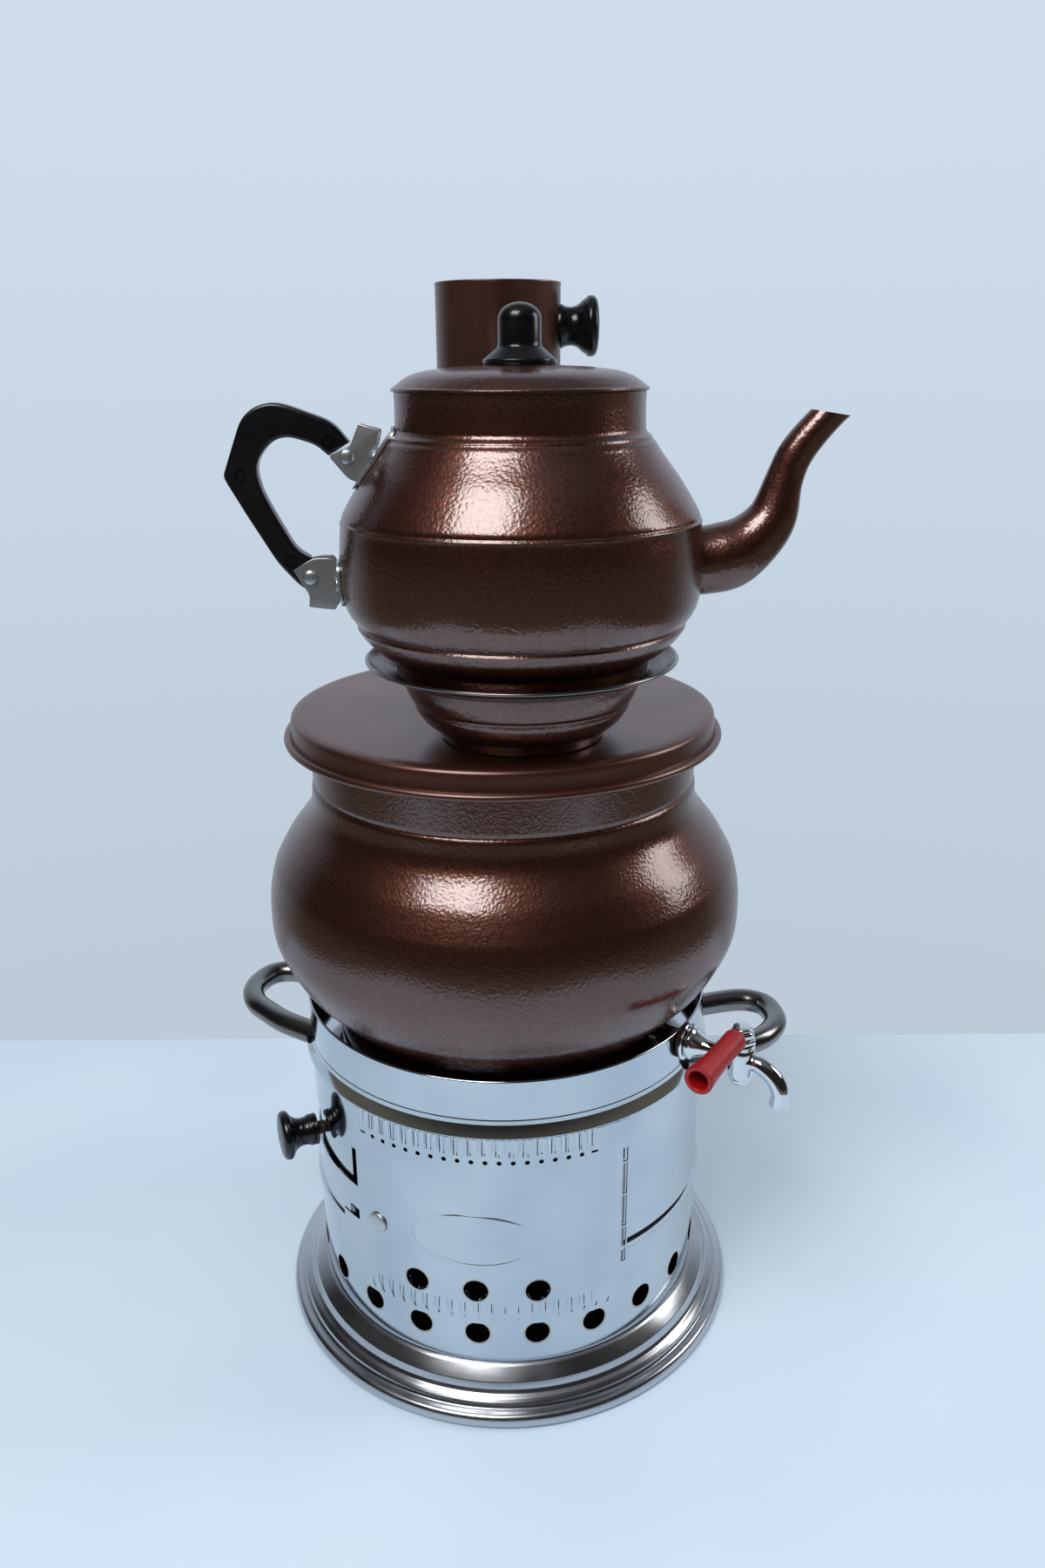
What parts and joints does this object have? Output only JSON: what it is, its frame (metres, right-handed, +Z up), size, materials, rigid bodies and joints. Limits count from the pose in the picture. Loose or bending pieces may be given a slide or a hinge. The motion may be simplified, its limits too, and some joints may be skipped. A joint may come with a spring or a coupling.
{
  "type": "charcoal camping samovar with teapot",
  "caption": "Charcoal samovar: round fire base with draught shutter, hammertone pot with flue, tap and side handles, chimney pipe, flat lid, seat dish and teapot.",
  "frame": {"origin": "middle of the base plate's underside, on the ground, on the axis of the fire base", "axes": "+Z up along the fire base's axis, -Y to the front panel's middle, +X to the side of the tap and the teapot's spout"},
  "size_m": [0.3151, 0.2622, 0.5536],
  "materials": {
    "brushed_steel": "spun stainless sheet with fine rings",
    "chrome_sheet": "bright mirror sheet, slightly wavy",
    "tap_chrome": "plated brass, bright",
    "hammertone": "copper-brown hammertone paint with orange peel",
    "satin_copper_paint": "copper-brown satin paint",
    "aluminium_bracket": "bare pressed aluminium",
    "bakelite": "black moulded bakelite",
    "red_plastic": "red moulded plastic",
    "seal_rubber": "plain rubber",
    "black_iron": "dark steel"
  },
  "bodies": {
    "fire_base": {"base_ring": "brushed_steel", "base_plate": "brushed_steel", "ash_tray": "brushed_steel", "firebox_shell": "chrome_sheet", "shutter_rail_upper": "chrome_sheet", "shutter_rail_lower": "chrome_sheet", "front_panel": "chrome_sheet", "panel_rivet": "chrome_sheet"},
    "grate": {"charcoal_grate": "black_iron"},
    "shutter": {"draught_shutter": "chrome_sheet", "shutter_spacer": "black_iron", "shutter_disc": "bakelite", "shutter_knob": "bakelite", "shutter_screw": "black_iron"},
    "boiler": {"pot_collar": "chrome_sheet", "boiler_pot": "hammertone", "flue_tube": "satin_copper_paint", "left_handle": "brushed_steel", "right_handle": "brushed_steel", "tap_inner_seal": "seal_rubber", "tap_back_nut": "tap_chrome", "tap_outer_seal": "seal_rubber", "tap_washer": "tap_chrome", "tap_body": "tap_chrome", "tap_gland_nut": "tap_chrome"},
    "tap_valve": {"tap_plug": "tap_chrome", "tap_lever": "tap_chrome", "tap_cap": "tap_chrome", "tap_grip": "red_plastic"},
    "chimney": {"chimney_pipe": "satin_copper_paint", "chimney_knob": "bakelite", "chimney_screw": "black_iron"},
    "pot_cover": {"pot_lid": "satin_copper_paint"},
    "teapot_stand": {"teapot_seat": "hammertone"},
    "teapot": {"teapot_body": "hammertone", "teapot_spout": "hammertone", "teapot_handle": "bakelite", "upper_bracket": "aluminium_bracket", "lower_bracket": "aluminium_bracket", "upper_handle_rivet": "aluminium_bracket", "lower_handle_rivet": "aluminium_bracket", "upper_web_rivet_left": "aluminium_bracket", "upper_web_rivet_right": "aluminium_bracket", "lower_web_rivet_left": "aluminium_bracket", "lower_web_rivet_right": "aluminium_bracket"},
    "teapot_cover": {"teapot_lid": "hammertone", "lid_knob": "bakelite", "lid_knob_screw": "black_iron"}
  },
  "joints": [
    {"name": "grate_lift", "type": "slide", "parent": "fire_base", "child": "grate", "axis": [0, 0, 1], "range_m": [0, 0.045]},
    {"name": "shutter_turn", "type": "hinge", "parent": "fire_base", "child": "shutter", "pos_m": [0, 0, 0.1215], "axis": [0, 0, 1], "range_deg": [-26, 4]},
    {"name": "boiler_lift", "type": "slide", "parent": "fire_base", "child": "boiler", "axis": [0, 0, 1], "range_m": [0, 0.06]},
    {"name": "tap_turn", "type": "hinge", "parent": "boiler", "child": "tap_valve", "pos_m": [0.1279, -0.061, 0.187], "axis": [0, 0, 1], "range_deg": [0, 90]},
    {"name": "chimney_lift", "type": "slide", "parent": "boiler", "child": "chimney", "axis": [0, 0, 1], "range_m": [0, 0.06]},
    {"name": "pot_lid_lift", "type": "slide", "parent": "boiler", "child": "pot_cover", "axis": [0, 0, 1], "range_m": [0, 0.12]},
    {"name": "seat_lift", "type": "slide", "parent": "pot_cover", "child": "teapot_stand", "axis": [0, 0, 1], "range_m": [0, 0.05]},
    {"name": "teapot_lift", "type": "slide", "parent": "teapot_stand", "child": "teapot", "axis": [0, 0, 1], "range_m": [0, 0.1]},
    {"name": "teapot_lid_lift", "type": "slide", "parent": "teapot", "child": "teapot_cover", "axis": [0, 0, 1], "range_m": [0, 0.04]}
  ]
}
